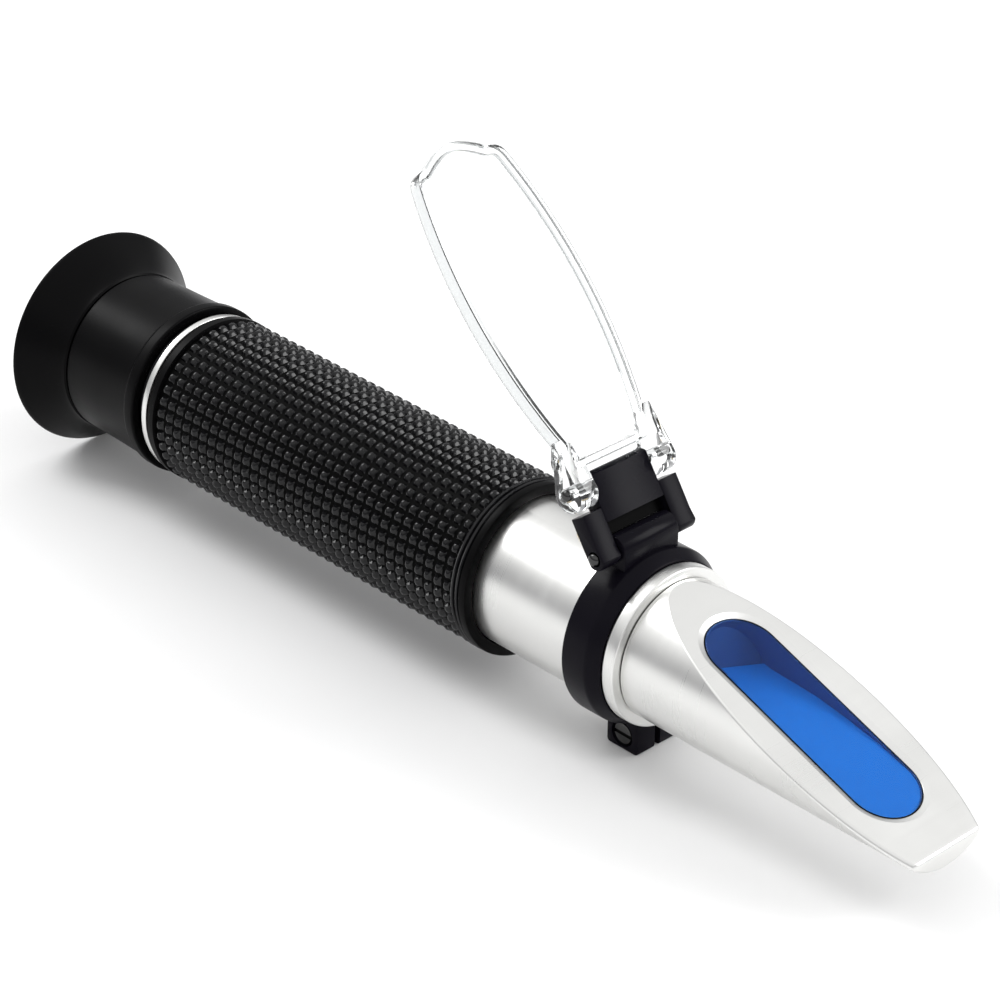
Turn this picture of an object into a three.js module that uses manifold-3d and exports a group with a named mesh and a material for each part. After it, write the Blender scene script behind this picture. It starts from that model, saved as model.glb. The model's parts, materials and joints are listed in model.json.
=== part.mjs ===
// Handheld brix refractometer: an eyepiece, a rubber-covered body tube, a slanted prism head and a
// clear daylight plate on a two-axis hinge. Millimetres, +Z up. The optical axis runs along X with
// the prism head at +X, and the instrument lies on its eyecup rim and on the foot of its collar.
import * as THREE from 'three';
import { mergeVertices } from 'three/addons/utils/BufferGeometryUtils.js';
import Module from 'manifold-3d';

// ---- driving dimensions, in the axis frame: x = 0 at the grip's front edge, z = 0 on the axis ----
const OUTER_ROUND = 40;      // sides of the turned parts that show
const ROUND = 24;            // sides of the turned parts inside
const SMALL_ROUND = 12;      // sides of pins, screws and bores
const GAP = 0.3;             // working gap between neighbouring pieces
const OVERCUT = 30;          // how far a cutting block runs past the part

const TUBE_R = 12.45;
const TUBE_BORE = 9.5;
const TUBE_REAR = -78.9;
const TUBE_FRONT = 30.3;
const STEP_RING_R = 12.95;
const STEP_RING_WIDTH = 2.2;
const FITTED_R = TUBE_BORE - GAP;   // outside of everything that sits in the bore

const GRIP_R = 14.5;
const GRIP_BORE = 12.7;
const GRIP_REAR = -77.4;
const GRIP_BAND = 2.4;       // smooth bands at the grip's two ends
const BEZEL_R = 14.15;
const BEZEL_WIDTH = 1.2;

const HEAD_R = 11.4;
const HEAD_BORE = 9;
const HEAD_FRONT = 84.4;
const HEAD_WALL = 3.9;       // closed front wall of the head
const SPIGOT_LENGTH = 7.5;
const FACE_SLOPE = THREE.MathUtils.degToRad(20);
const FACE_X = 60;           // a point on the slanted face, and its height above the axis
const FACE_Z = 0.8;
const FACE_WALL = 2;         // metal between the slanted face and the head's cavity
const SPIGOT_BORE = 7.4;

const WINDOW_HALF_WIDTH = 6.3;
const WINDOW_REAR = -16.5;   // end centres of the window along the slope, from the face point
const WINDOW_FRONT = 12.7;
const WINDOW_BEVEL = 0.9;
const WINDOW_BEVEL_DEPTH = 0.6;
const GASKET_WIDTH = 0.3;
const PRISM_HALF_WIDTH = 5.7;
const PRISM_PROUD = 0.1;
const PRISM_DEPTH = 9.5;     // at its rear; the underside rises towards the front
const PRISM_FRONT_DEPTH = 1.8;
const PRISM_REAR_DEPTH = 4;  // height of its steep rear face

const COLLAR_REAR = 21;
const COLLAR_FRONT = 27.9;
const COLLAR_R = 14.35;
const COLLAR_BORE = 12.75;
const COLLAR_BEVEL = 2;
const FOOT_Z = -19;          // underside of the clamp foot, level with the eyecup rim
const FOOT_HALF_WIDTH = 4.4;
const CLAMP_SLOT = 1.2;
const CLAMP_X = (COLLAR_REAR + COLLAR_FRONT) / 2;
const CLAMP_SCREW_Z = -16.3;
const CLAMP_SCREW_R = 1.2;
const CLAMP_HEAD_R = 1.8;
const CLAMP_NUT_R = 1.9;
const CLAMP_HEAD_RECESS = 1.5;   // depths of the two recesses in the foot
const CLAMP_NUT_RECESS = 1.7;

const LOWER_PIN = { x: 23, z: 16 };
const UPPER_PIN = { x: 17.3, z: 24.5 };
const PIN_R = 1;
const PIN_BORE = PIN_R + 0.25;
const KNUCKLE_R = 2.3;
const KNUCKLE_HALF_WIDTH = 5.7;
const CHEEK_INNER = 6.05;
const CHEEK_OUTER = 9.8;
const CHEEK_END = 6.6;       // how far the two cheeks reach from the lower pin
const LINK_BLOCK_START = 4.3;
const LINK_FRONT = 1.4;      // link faces, measured from the line between its pins
const LINK_REAR = 1.65;
const LINK_END_R = 1.9;
const WEB_FRONT = 0.2;       // the web that joins the cheeks under the block, on the same lines
const WEB_REAR = 1.55;
const WEB_CLEARANCE = 0.15;  // round the collar's knuckle

const PLATE_ANGLE = THREE.MathUtils.degToRad(134);
const PLATE_BASE = 2.7;      // distances along the plate from the upper pin
const PLATE_WIDEST = 29.5;
const PLATE_END = 52.4;
const PLATE_HALF_WIDTH = 11.5;
const PLATE_SIDE_R = 88;
const PLATE_DEPTH = 3;
const PANEL_THICKNESS = 1.5;
const RIM_WIDTH = 1.3;
const PLATE_CORNER = 2.2;
const TAB_HALF_WIDTH = 6.2;  // the finger tab is a low arch across the free end
const TAB_HEIGHT = 2.45;
const EAR_R = 3;
const EAR_INNER = 6.25;
const EAR_OUTER = 10.05;

const EYECUP_REAR = -108;
const EYECUP_R = 19;
const EYECUP_FRONT = -80.4;
const BARREL_R = 13;
const BARREL_BORE = 9.5;
const BARREL_REAR = -98;
const CREASE_X = -99.5;       // seam between the cup's sleeve and its flare

const CALIBRATION_X = 13;
const GRUB_R = 1.4;
const GRUB_TOP = TUBE_R + 0.6;
const BUSH_R = 2.1;
const BUSH_FLANGE_R = 2.5;
const BUSH_TOP = TUBE_R + 0.75;

// ---- materials ----
const finish = (color, roughness, metalness) =>
  new THREE.MeshStandardMaterial({ color, roughness, metalness });
const LOOK = {
  satinAluminium: finish(0xd6d6d3, 0.32, 0.95),
  blackAluminium: finish(0x17171a, 0.45, 0.8),
  blackRubber: finish(0x101012, 0.75, 0),
  blackPlastic: finish(0x161618, 0.42, 0),
  clearPlastic: finish(0xf2f5f5, 0.06, 0),
  prismGlass: finish(0x1468c8, 0.05, 0),
  opticalGlass: finish(0xcfe6e2, 0.03, 0),
  brass: finish(0xb08a45, 0.35, 1),
  steel: finish(0x9a9a9c, 0.3, 1),
  bimetal: finish(0xa87b4f, 0.4, 1),
};

// ---- solid modelling helpers ----
const wasm = await Module();
wasm.setup();

function signedVolume(position, index) {
  const [a, b, c] = [new THREE.Vector3(), new THREE.Vector3(), new THREE.Vector3()];
  let six = 0;
  for (let i = 0; i < index.length; i += 3) {
    a.fromBufferAttribute(position, index[i]);
    b.fromBufferAttribute(position, index[i + 1]);
    c.fromBufferAttribute(position, index[i + 2]);
    six += a.dot(b.cross(c));
  }
  return six;
}

// Shares the vertices, drops the empty triangles at a lathe's poles and turns the faces outwards.
function closed(geometry) {
  const bare = geometry.clone();
  bare.deleteAttribute('normal');
  bare.deleteAttribute('uv');
  const merged = mergeVertices(bare, 1e-4);
  const source = merged.index.array;
  const kept = [];
  for (let i = 0; i < source.length; i += 3) {
    const [a, b, c] = [source[i], source[i + 1], source[i + 2]];
    if (a !== b && b !== c && c !== a) kept.push(a, b, c);
  }
  if (signedVolume(merged.attributes.position, kept) < 0) kept.reverse();
  merged.setIndex(kept);
  return merged;
}

function toManifold(geometry) {
  const shell = closed(geometry);
  return new wasm.Manifold(new wasm.Mesh({
    numProp: 3,
    vertProperties: Float32Array.from(shell.attributes.position.array),
    triVerts: Uint32Array.from(shell.index.array),
  }));
}

function fromManifold(manifold) {
  const mesh = manifold.getMesh();
  const geometry = new THREE.BufferGeometry();
  geometry.setAttribute('position', new THREE.BufferAttribute(mesh.vertProperties, 3));
  geometry.setIndex(new THREE.BufferAttribute(mesh.triVerts, 1));
  return geometry;
}

const combine = (operation) => (first, ...others) => fromManifold(
  others.reduce((solid, other) => solid[operation](toManifold(other)), toManifold(first)));
const join = combine('add');
const cut = combine('subtract');
const common = combine('intersect');

// A turned part about the X axis from [x, radius] pairs. A profile that doesn't touch the axis is
// closed on itself.
function turned(profile, segments = ROUND) {
  const points = profile.map(([x, r]) => new THREE.Vector2(r, x));
  const onAxis = profile[0][1] === 0 && profile.at(-1)[1] === 0;
  if (!onAxis) points.push(points[0].clone());
  return closed(new THREE.LatheGeometry(points, segments).rotateZ(-Math.PI / 2));
}

const ring = (xLow, xHigh, inner, outer, segments = ROUND) =>
  turned([[xLow, inner], [xLow, outer], [xHigh, outer], [xHigh, inner]], segments);

const disc = (xLow, xHigh, radius, segments = ROUND) =>
  turned([[xLow, 0], [xLow, radius], [xHigh, radius], [xHigh, 0]], segments);

function oRing(x, radius, section) {
  const steps = 6;
  const profile = Array.from({ length: steps }, (_, i) => {
    const angle = (i / steps) * 2 * Math.PI;
    return [x + section * Math.cos(angle), radius + section * Math.sin(angle)];
  });
  return turned(profile);
}

// A lens about the X axis: spherical faces that bulge past a straight edge.
function lens(edgeRear, edgeFront, radius, bulge) {
  const steps = 3;
  const sag = (r) => bulge * (1 - (r / radius) ** 2);
  const radii = Array.from({ length: steps + 1 }, (_, i) => (radius * i) / steps);
  const rear = radii.map((r) => [edgeRear - sag(r), r]);
  const front = radii.toReversed().map((r) => [edgeFront + sag(r), r]);
  return turned([...rear, ...front]);
}

// An outline drawn in x and z, as thick as yLow to yHigh.
function slab(shape, yLow, yHigh, curveSegments = 6) {
  const options = { depth: yHigh - yLow, bevelEnabled: false, curveSegments };
  return closed(new THREE.ExtrudeGeometry(shape, options).rotateX(Math.PI / 2).translate(0, yHigh, 0));
}

const polygon = (points) => new THREE.Shape(points.map(([x, y]) => new THREE.Vector2(x, y)));

const block = (xLow, xHigh, yLow, yHigh, zLow, zHigh) =>
  new THREE.BoxGeometry(xHigh - xLow, yHigh - yLow, zHigh - zLow)
    .translate((xLow + xHigh) / 2, (yLow + yHigh) / 2, (zLow + zHigh) / 2);

// Round bars along Y and Z, used as pins, screws and drills.
const barY = (x, z, radius, yLow, yHigh, segments = SMALL_ROUND) =>
  new THREE.CylinderGeometry(radius, radius, yHigh - yLow, segments)
    .translate(x, (yLow + yHigh) / 2, z);
const barZ = (x, y, radius, zLow, zHigh, segments = SMALL_ROUND) =>
  new THREE.CylinderGeometry(radius, radius, zHigh - zLow, segments)
    .rotateX(Math.PI / 2).translate(x, y, (zLow + zHigh) / 2);

// ---- things measured on the slanted face: x runs down the slope and z along its normal ----
const ontoFace = (geometry) => geometry.rotateY(FACE_SLOPE).translate(FACE_X, 0, FACE_Z);

function stadium(rear, front, halfWidth) {
  const shape = new THREE.Shape();
  shape.absarc(front, 0, halfWidth, -Math.PI / 2, Math.PI / 2, false);
  shape.absarc(rear, 0, halfWidth, Math.PI / 2, (3 * Math.PI) / 2, false);
  return shape;
}

function faceStadium(halfWidth, low, high) {
  const options = { depth: high - low, bevelEnabled: false, curveSegments: 10 };
  const shape = stadium(WINDOW_REAR, WINDOW_FRONT, halfWidth);
  return ontoFace(new THREE.ExtrudeGeometry(shape, options).translate(0, 0, low));
}

const aboveFace = (offset) =>
  ontoFace(block(-90, 60, -OVERCUT, OVERCUT, offset, offset + 2 * OVERCUT));

// ---- body tube, grip and bezel ----
function bodyTube() {
  const ringRear = TUBE_FRONT - STEP_RING_WIDTH;
  const shell = turned([
    [TUBE_REAR, TUBE_BORE], [TUBE_REAR, TUBE_R], [ringRear, TUBE_R],
    [ringRear, STEP_RING_R], [TUBE_FRONT - GAP, STEP_RING_R],
    [TUBE_FRONT, STEP_RING_R - GAP], [TUBE_FRONT, TUBE_BORE],
  ], OUTER_ROUND);
  return cut(shell, barZ(CALIBRATION_X, 0, BUSH_R + 0.1, 0, OVERCUT));
}

function rubberGrip() {
  const groove = 0.35;
  const profile = [[GRIP_REAR, GRIP_BORE], [GRIP_REAR, GRIP_R - groove], [GRIP_REAR + groove, GRIP_R]];
  for (const x of [GRIP_REAR + GRIP_BAND, -GRIP_BAND]) {
    profile.push([x - groove, GRIP_R], [x, GRIP_R - groove], [x + groove, GRIP_R]);
  }
  profile.push([-groove, GRIP_R], [0, GRIP_R - groove], [0, GRIP_BORE]);
  return turned(profile, OUTER_ROUND);
}

const bezelRing = () => {
  const edge = 0.25;
  return turned([
    [TUBE_REAR, GRIP_BORE], [TUBE_REAR, BEZEL_R - edge], [TUBE_REAR + edge, BEZEL_R],
    [TUBE_REAR + BEZEL_WIDTH - edge, BEZEL_R], [TUBE_REAR + BEZEL_WIDTH, BEZEL_R - edge],
    [TUBE_REAR + BEZEL_WIDTH, GRIP_BORE],
  ], OUTER_ROUND);
};

// ---- prism head ----
const SEAL_X = TUBE_FRONT - 4;
const SEAL_SECTION = 0.45;

function prismHousing() {
  const edge = 0.5;
  const shoulder = TUBE_FRONT + GAP;
  const spigotRear = shoulder - SPIGOT_LENGTH;
  const outside = turned([
    [spigotRear, 0], [spigotRear, FITTED_R], [SEAL_X - 0.8, FITTED_R], [SEAL_X - 0.8, FITTED_R - 0.9],
    [SEAL_X + 0.8, FITTED_R - 0.9], [SEAL_X + 0.8, FITTED_R], [shoulder, FITTED_R],
    [shoulder, HEAD_R - edge / 2], [shoulder + edge / 2, HEAD_R], [HEAD_FRONT - edge, HEAD_R],
    [HEAD_FRONT, HEAD_R - edge], [HEAD_FRONT, 0],
  ], OUTER_ROUND);
  const boreX = shoulder + 2;
  const cavity = cut(disc(boreX, HEAD_FRONT - HEAD_WALL, HEAD_BORE), aboveFace(-FACE_WALL));
  const rearBore = disc(spigotRear - 1, boreX + 1, SPIGOT_BORE);
  const bevelOptions = {
    depth: 2, bevelEnabled: true, bevelSegments: 1, curveSegments: 10,
    bevelThickness: WINDOW_BEVEL_DEPTH, bevelSize: WINDOW_BEVEL,
  };
  const opening = stadium(WINDOW_REAR, WINDOW_FRONT, WINDOW_HALF_WIDTH);
  const bevel = ontoFace(new THREE.ExtrudeGeometry(opening, bevelOptions));
  const window = faceStadium(WINDOW_HALF_WIDTH, -FACE_WALL - 3, 1);
  return cut(outside, aboveFace(0), cavity, rearBore, window, bevel);
}

// Section of the prism in slope coordinates: flat measuring face, steep rear face, slanted underside.
function prismEnvelope(grow) {
  const rear = WINDOW_REAR - PRISM_HALF_WIDTH - 1;
  const front = WINDOW_FRONT + PRISM_HALF_WIDTH + 1;
  const section = polygon([
    [rear, 5], [rear, -PRISM_REAR_DEPTH - grow], [WINDOW_REAR + 2, -PRISM_DEPTH - grow],
    [front, -PRISM_FRONT_DEPTH - grow], [front, 5],
  ]);
  return ontoFace(slab(section, -OVERCUT, OVERCUT));
}

const mainPrism = () =>
  common(faceStadium(PRISM_HALF_WIDTH, -PRISM_DEPTH, PRISM_PROUD), prismEnvelope(0));

const gasketOuter = WINDOW_HALF_WIDTH - 0.15;
const prismGasket = () => cut(
  faceStadium(gasketOuter, -FACE_WALL + 0.2, -WINDOW_BEVEL_DEPTH + 0.1),
  faceStadium(gasketOuter - GASKET_WIDTH, -FACE_WALL - 1, 1),
);

function prismBed() {
  const body = disc(FACE_X - 15, HEAD_FRONT - HEAD_WALL - GAP, HEAD_BORE - GAP);
  const pocket = common(faceStadium(PRISM_HALF_WIDTH + GAP, -OVERCUT, 5), prismEnvelope(GAP));
  return cut(body, aboveFace(-FACE_WALL - GAP), pocket);
}

// ---- clamp collar with hinge knuckle and foot ----
function hingeCollar() {
  const edge = 0.4;
  const band = turned([
    [COLLAR_REAR, COLLAR_BORE], [COLLAR_REAR, COLLAR_R - edge], [COLLAR_REAR + edge, COLLAR_R],
    [COLLAR_FRONT - COLLAR_BEVEL, COLLAR_R], [COLLAR_FRONT, COLLAR_BORE + edge],
    [COLLAR_FRONT, COLLAR_BORE],
  ], OUTER_ROUND);
  const knuckle = new THREE.Shape();
  const knuckleFoot = COLLAR_BORE + 0.15;
  knuckle.moveTo(LOWER_PIN.x + KNUCKLE_R, knuckleFoot);
  knuckle.absarc(LOWER_PIN.x, LOWER_PIN.z, KNUCKLE_R, 0, Math.PI, false);
  knuckle.lineTo(LOWER_PIN.x - KNUCKLE_R, knuckleFoot);
  const footTop = -COLLAR_BORE - 0.2;
  const foot = block(
    COLLAR_REAR + 0.2, COLLAR_FRONT - 0.2, -FOOT_HALF_WIDTH, FOOT_HALF_WIDTH, FOOT_Z, footTop);
  return cut(
    join(band, slab(knuckle, -KNUCKLE_HALF_WIDTH, KNUCKLE_HALF_WIDTH), foot),
    barY(LOWER_PIN.x, LOWER_PIN.z, PIN_BORE, -OVERCUT, OVERCUT),
    block(COLLAR_REAR - 1, COLLAR_FRONT + 1, -CLAMP_SLOT / 2, CLAMP_SLOT / 2, -OVERCUT, -TUBE_R + 2),
    barY(CLAMP_X, CLAMP_SCREW_Z, CLAMP_SCREW_R + GAP, -OVERCUT, OVERCUT),
    barY(CLAMP_X, CLAMP_SCREW_Z, CLAMP_NUT_R + GAP, -OVERCUT, CLAMP_HEAD_RECESS - FOOT_HALF_WIDTH),
    barY(CLAMP_X, CLAMP_SCREW_Z, CLAMP_NUT_R + GAP, FOOT_HALF_WIDTH - CLAMP_NUT_RECESS, OVERCUT, 6),
  );
}

function clampScrew() {
  const headFace = -FOOT_HALF_WIDTH + 0.1;
  const headBack = headFace + 1.1;
  const shank = barY(CLAMP_X, CLAMP_SCREW_Z, CLAMP_SCREW_R, headBack - 0.2, FOOT_HALF_WIDTH - 0.1);
  const head = barY(CLAMP_X, CLAMP_SCREW_Z, CLAMP_HEAD_R, headFace, headBack);
  const slot = block(
    CLAMP_X - 3, CLAMP_X + 3, headFace - 1, headFace + 0.5, CLAMP_SCREW_Z - 0.3, CLAMP_SCREW_Z + 0.3);
  return cut(join(head, shank), slot);
}

const clampNut = () => cut(
  barY(CLAMP_X, CLAMP_SCREW_Z, CLAMP_NUT_R, FOOT_HALF_WIDTH - 1.4, FOOT_HALF_WIDTH - 0.15, 6),
  barY(CLAMP_X, CLAMP_SCREW_Z, CLAMP_SCREW_R + 0.15, 0, OVERCUT),
);

// ---- hinge link, drawn with the lower pin at the origin and the upper pin along +X ----
const LINK_LENGTH = Math.hypot(UPPER_PIN.x - LOWER_PIN.x, UPPER_PIN.z - LOWER_PIN.z);
const LINK_ANGLE = Math.atan2(UPPER_PIN.z - LOWER_PIN.z, UPPER_PIN.x - LOWER_PIN.x);

function hingeLink() {
  const blockEnd = LINK_LENGTH + LINK_END_R;
  const middle = slab(polygon([
    [LINK_BLOCK_START, -LINK_FRONT], [LINK_LENGTH, -LINK_FRONT],
    [LINK_LENGTH, LINK_REAR], [LINK_BLOCK_START, LINK_REAR],
  ]), -CHEEK_INNER, CHEEK_INNER);
  const upperEnd = cut(
    barY(LINK_LENGTH, 0, LINK_END_R, -CHEEK_INNER, CHEEK_INNER),
    block(blockEnd - 0.15, blockEnd + 1, -OVERCUT, OVERCUT, -3, 3),
  );
  const cheeks = [-1, 1].flatMap((side) => {
    const [low, high] = [side * (CHEEK_INNER - 0.01), side * CHEEK_OUTER].sort((a, b) => a - b);
    const arm = polygon([
      [0, -LINK_FRONT], [CHEEK_END, -LINK_FRONT], [CHEEK_END, LINK_REAR], [0, LINK_REAR],
    ]);
    return [slab(arm, low, high), barY(0, 0, LINK_END_R, low, high)];
  });
  const web = cut(
    block(1, LINK_BLOCK_START + 0.3, -CHEEK_INNER, CHEEK_INNER, WEB_FRONT, WEB_REAR),
    barY(0, 0, KNUCKLE_R + WEB_CLEARANCE, -OVERCUT, OVERCUT, ROUND),
  );
  return cut(
    join(middle, upperEnd, web, ...cheeks),
    barY(0, 0, PIN_BORE, -OVERCUT, OVERCUT),
    barY(LINK_LENGTH, 0, PIN_BORE - 0.1, -OVERCUT, OVERCUT),
  );
}

// A hinge pin on the local Y axis, with a domed end at -Y that stands a little proud.
const hingePin = (radius, halfLength) => turned([
  [-halfLength - 0.75, 0], [-halfLength - 0.6, radius * 0.6], [-halfLength - 0.1, radius],
  [halfLength - 0.2, radius], [halfLength, radius - 0.2], [halfLength, 0],
], SMALL_ROUND).rotateZ(Math.PI / 2);

// ---- daylight plate, drawn with the upper pin at the origin; its prism side faces local -Z ----
function plateOutline(inset) {
  const shape = new THREE.Shape();
  const sideWidth = (s) =>
    PLATE_HALF_WIDTH - inset - (PLATE_SIDE_R - Math.sqrt(PLATE_SIDE_R ** 2 - (s - PLATE_WIDEST) ** 2));
  const start = PLATE_BASE + inset;
  const end = PLATE_END - inset;
  const corner = PLATE_CORNER - inset;
  const steps = 8;
  const sideEnd = end - corner;
  const side = Array.from({ length: steps + 1 }, (_, i) => start + ((sideEnd - start) * i) / steps);
  shape.moveTo(start, -sideWidth(start));
  side.slice(1).forEach((s) => shape.lineTo(s, -sideWidth(s)));
  shape.quadraticCurveTo(end, -sideWidth(end), end, -sideWidth(end) + corner);
  const tabHalf = TAB_HALF_WIDTH - 0.28 * inset;   // keeps the rim about as wide along the arch
  for (let i = -steps; i <= steps; i += 1) {
    shape.lineTo(end + TAB_HEIGHT * Math.cos((Math.PI * i) / (2 * steps)), (tabHalf * i) / steps);
  }
  shape.lineTo(end, sideWidth(end) - corner);
  shape.quadraticCurveTo(end, sideWidth(end), sideEnd, sideWidth(sideEnd));
  side.toReversed().slice(1).forEach((s) => shape.lineTo(s, sideWidth(s)));
  return shape;
}

function plateSheet(inset, low, high) {
  const options = { depth: high - low, bevelEnabled: false, curveSegments: 6 };
  return closed(new THREE.ExtrudeGeometry(plateOutline(inset), options).translate(0, 0, low));
}

function daylightPlate() {
  const tray = cut(
    plateSheet(0, -PLATE_DEPTH, 0),
    plateSheet(RIM_WIDTH, PANEL_THICKNESS - PLATE_DEPTH, 1),
  );
  const ear = new THREE.Shape();
  ear.absarc(0, 0, EAR_R, Math.PI / 2, (3 * Math.PI) / 2, false);
  ear.lineTo(PLATE_BASE + 4.4, -PLATE_DEPTH);
  ear.lineTo(PLATE_BASE + 2.6, 0);
  ear.lineTo(1.6, EAR_R - 0.5);
  const ears = [-1, 1].map((side) => {
    const [low, high] = [side * EAR_INNER, side * EAR_OUTER].sort((a, b) => a - b);
    return slab(ear, low, high);
  });
  return cut(join(tray, ...ears), barY(0, 0, PIN_BORE - 0.1, -OVERCUT, OVERCUT));
}

// ---- objective, temperature compensator and calibration screw ----
const CELL_R = 8.4;

const objectiveCell = () => turned([
  [6, 6.2], [6, CELL_R], [17.5, CELL_R], [17.5, 7.4], [8.4, 7.4], [8.4, 6.2],
]);

function calibrationScrew() {
  const slot = block(CALIBRATION_X - 3, CALIBRATION_X + 3, -0.3, 0.3, GRUB_TOP - 0.7, GRUB_TOP + 1);
  return cut(barZ(CALIBRATION_X, 0, GRUB_R, CELL_R + 0.6, GRUB_TOP), slot);
}

const calibrationBush = () => cut(
  join(
    barZ(CALIBRATION_X, 0, BUSH_R, TUBE_BORE + 0.2, TUBE_R + 0.4),
    barZ(CALIBRATION_X, 0, BUSH_FLANGE_R, TUBE_R + 0.15, BUSH_TOP),
  ),
  barZ(CALIBRATION_X, 0, GRUB_R + 0.2, 0, OVERCUT),
);

const BIMETAL = { rear: -28, front: 5.5, halfWidth: 3.2, low: 7.2, high: 7.7 };
const CLAMP_SCREW_X = [-26.3, -22.7];
const drillStrip = (geometry) =>
  cut(geometry, ...CLAMP_SCREW_X.map((x) => barZ(x, 0, 0.9, 0, OVERCUT)));

const bimetalStrip = () => drillStrip(block(
  BIMETAL.rear, BIMETAL.front, -BIMETAL.halfWidth, BIMETAL.halfWidth, BIMETAL.low, BIMETAL.high));
const bimetalBlock = () => drillStrip(block(
  BIMETAL.rear - 0.5, BIMETAL.rear + 7.5, -BIMETAL.halfWidth, BIMETAL.halfWidth, 8, 8.75));
const bimetalScrew = (x) => join(barZ(x, 0, 1.4, 6.1, 6.9), barZ(x, 0, 0.6, 6.6, 8.6));

// ---- reticle and focusing eyepiece ----
const reticleRing = () => turned([
  [-68.3, 7.2], [-68.3, FITTED_R], [-64.6, FITTED_R], [-64.6, 8.3], [-67.05, 8.3], [-67.05, 7.2],
]);

function focusSleeve() {
  const neck = 8.85;
  const profile = [[-70, 7.7], [-93, 7.7], [-93, neck]];
  for (let x = -91.4; x < -84; x += 2.4) {
    profile.push([x, neck], [x + 0.5, neck + GAP], [x + 1.2, neck + GAP], [x + 1.7, neck]);
  }
  profile.push([-82.7, neck], [-82.7, neck - 0.4], [-81.5, neck - 0.4], [-81.5, neck]);
  profile.push([TUBE_REAR - 0.2, neck], [TUBE_REAR - 0.2, FITTED_R], [-70, FITTED_R]);
  return turned(profile);
}

const eyepieceBarrel = () => turned([
  [EYECUP_FRONT + 0.2, BARREL_BORE], [EYECUP_FRONT + 0.2, BARREL_R], [BARREL_REAR, BARREL_R],
  [BARREL_REAR, 6.6], [BARREL_REAR + 1.5, 6.6], [BARREL_REAR + 1.5, BARREL_BORE],
]);

const lensCell = () => turned([
  [-96.1, 5.8], [-96.1, 9.1], [-94.6, 9.1], [-94.6, 7.35], [-83.5, 7.35], [-83.5, 6.6],
  [-94.2, 6.6], [-94.2, 5.8],
]);

// The cup is a sleeve over the barrel and a trumpet that flares out from a seam to the rim.
const SLEEVE_BEAD_R = 14.95;
const EYECUP_FLOOR = 0.9;    // the sleeve's wall behind the barrel
const FLARE_BORE = 11.6;

function eyecupSleeve() {
  const bore = BARREL_R + 0.25;
  const floorX = BARREL_REAR - GAP;
  const rearX = floorX - EYECUP_FLOOR;
  return turned([
    [EYECUP_FRONT, bore], [EYECUP_FRONT, SLEEVE_BEAD_R - 0.4], [EYECUP_FRONT - 0.4, SLEEVE_BEAD_R],
    [EYECUP_FRONT - 2, SLEEVE_BEAD_R], [EYECUP_FRONT - 2.5, 14.45], [rearX + 0.4, 14.2],
    [rearX, 13.9], [rearX, 8], [floorX, 8], [floorX, bore],
  ], OUTER_ROUND);
}

function flare(xStart, rStart, xEnd, rEnd) {
  const steps = 5;
  return Array.from({ length: steps + 1 }, (_, i) => {
    const t = i / steps;
    return [xStart + (xEnd - xStart) * t, rStart + (rEnd - rStart) * t ** 1.35];
  });
}

function rubberEyecup() {
  const outside = flare(CREASE_X - 0.3, 14.3, EYECUP_REAR + 0.9, EYECUP_R - 0.15);
  const inside = flare(CREASE_X - 0.1, FLARE_BORE, EYECUP_REAR + 0.4, 17.5).reverse();
  return turned([
    [CREASE_X, FLARE_BORE], [CREASE_X, 14], ...outside,
    [EYECUP_REAR + 0.4, EYECUP_R], [EYECUP_REAR, EYECUP_R - 0.35], [EYECUP_REAR, 17.9],
    ...inside,
  ], OUTER_ROUND);
}

// ---- assembly ----
const refractometer = new THREE.Group();
// The origin goes to the middle of the instrument's length, on the surface that it lies on.
refractometer.position.set(-(EYECUP_REAR + HEAD_FRONT) / 2, 0, -FOOT_Z);

function place(name, geometry, material, parent = refractometer) {
  const mesh = new THREE.Mesh(geometry, material);
  mesh.name = name;
  parent.add(mesh);
}

function hingeGroup(pin, angle) {
  const group = new THREE.Group();
  group.position.set(pin.x, 0, pin.z);
  group.rotation.y = -angle;
  refractometer.add(group);
  return group;
}

place('body_tube', bodyTube(), LOOK.satinAluminium);
place('rubber_grip', rubberGrip(), LOOK.blackRubber);
place('rear_bezel_ring', bezelRing(), LOOK.satinAluminium);
place('prism_housing', prismHousing(), LOOK.satinAluminium);
place('housing_seal', oRing(SEAL_X, FITTED_R - 0.3, SEAL_SECTION), LOOK.blackRubber);
place('main_prism', mainPrism(), LOOK.prismGlass);
place('prism_gasket', prismGasket(), LOOK.blackRubber);
place('prism_bed', prismBed(), LOOK.blackPlastic);
place('hinge_collar', hingeCollar(), LOOK.blackPlastic);
place('clamp_screw', clampScrew(), LOOK.steel);
place('clamp_nut', clampNut(), LOOK.steel);

const linkGroup = hingeGroup(LOWER_PIN, LINK_ANGLE);
place('hinge_link', hingeLink(), LOOK.blackPlastic, linkGroup);
place('lower_hinge_pin', hingePin(PIN_R, CHEEK_OUTER), LOOK.steel, linkGroup);

const plateGroup = hingeGroup(UPPER_PIN, PLATE_ANGLE);
place('daylight_plate', daylightPlate(), LOOK.clearPlastic, plateGroup);
place('upper_hinge_pin', hingePin(PIN_R - 0.1, EAR_OUTER), LOOK.steel, plateGroup);

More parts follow.
